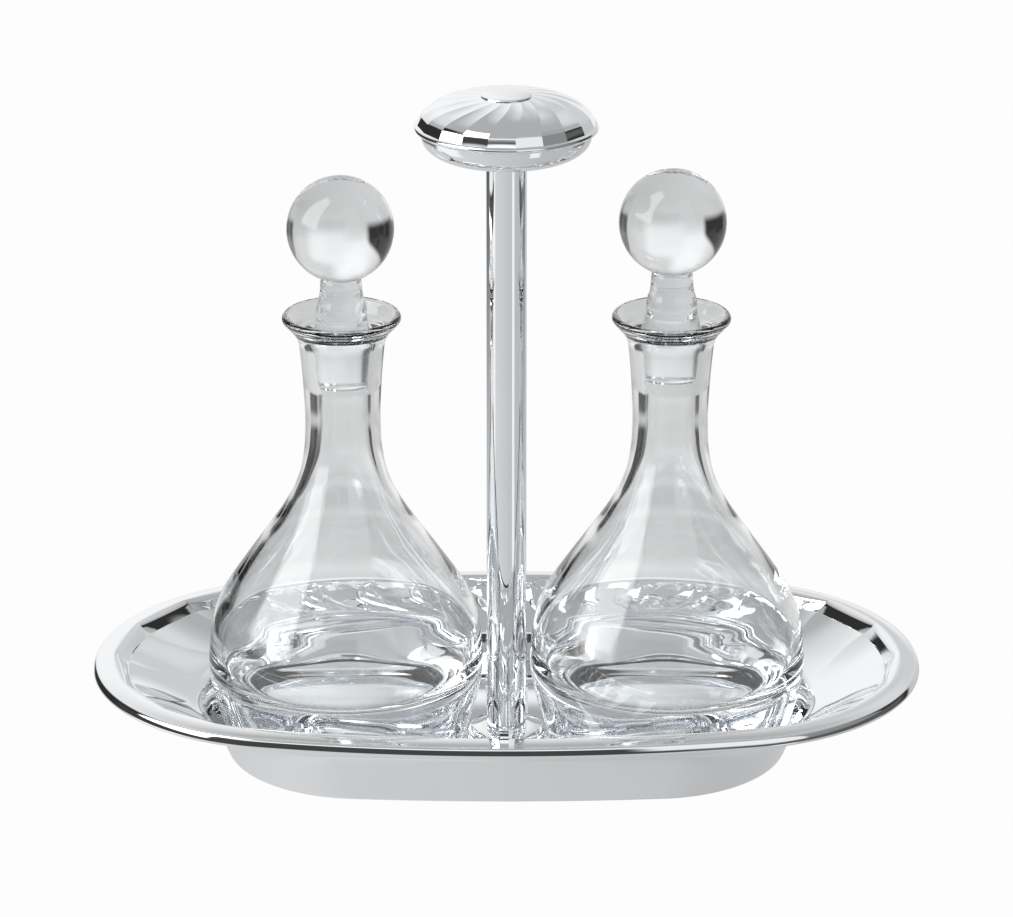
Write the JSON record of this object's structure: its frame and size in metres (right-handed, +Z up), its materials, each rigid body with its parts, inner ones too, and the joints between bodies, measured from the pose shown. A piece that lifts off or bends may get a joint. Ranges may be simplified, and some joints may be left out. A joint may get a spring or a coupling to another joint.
{
  "type": "cruet set",
  "caption": "Oval fluted silver tray with a central post handle and mushroom knob, holding glass oil and vinegar bottles with ball stoppers.",
  "frame": {"origin": "centre of the tray's foot, on the surface that the set stands on", "axes": "+X along the tray's length towards the right bottle, +Z up along the handle, -Y towards the front"},
  "size_m": [0.288, 0.16, 0.2367],
  "materials": {
    "silver_plate": "mirror-polished silver plate",
    "brass_fittings": "plain turned brass",
    "steel_fixings": "zinc-bright machined steel",
    "bottle_glass": "clear polished glass",
    "stopper_glass": "clear polished glass with a ground plug"
  },
  "bodies": {
    "stand": {"tray_dish": "silver_plate", "rim_bead": "silver_plate", "handle_post": "silver_plate", "post_base_plug": "brass_fittings", "post_top_plug": "brass_fittings", "tie_rod": "steel_fixings", "fixing_washer": "steel_fixings", "lock_washer": "steel_fixings", "fixing_nut": "steel_fixings", "knob_base_shell": "silver_plate", "knob_insert": "brass_fittings", "knob_top_shell": "silver_plate", "knob_button": "silver_plate"},
    "left_bottle": {"left_bottle": "bottle_glass"},
    "left_stopper": {"left_stopper": "stopper_glass"},
    "right_bottle": {"right_bottle": "bottle_glass"},
    "right_stopper": {"right_stopper": "stopper_glass"}
  },
  "joints": [
    {"name": "left_bottle_lift", "type": "slide", "parent": "stand", "child": "left_bottle", "axis": [-0.2873, 0, 0.9578], "range_m": [0, 0.255]},
    {"name": "right_bottle_lift", "type": "slide", "parent": "stand", "child": "right_bottle", "axis": [0.2873, 0, 0.9578], "range_m": [0, 0.255]},
    {"name": "left_stopper_pull", "type": "slide", "parent": "left_bottle", "child": "left_stopper", "axis": [0, 0, 1], "range_m": [0, 0.06]},
    {"name": "right_stopper_pull", "type": "slide", "parent": "right_bottle", "child": "right_stopper", "axis": [0, 0, 1], "range_m": [0, 0.06]}
  ]
}
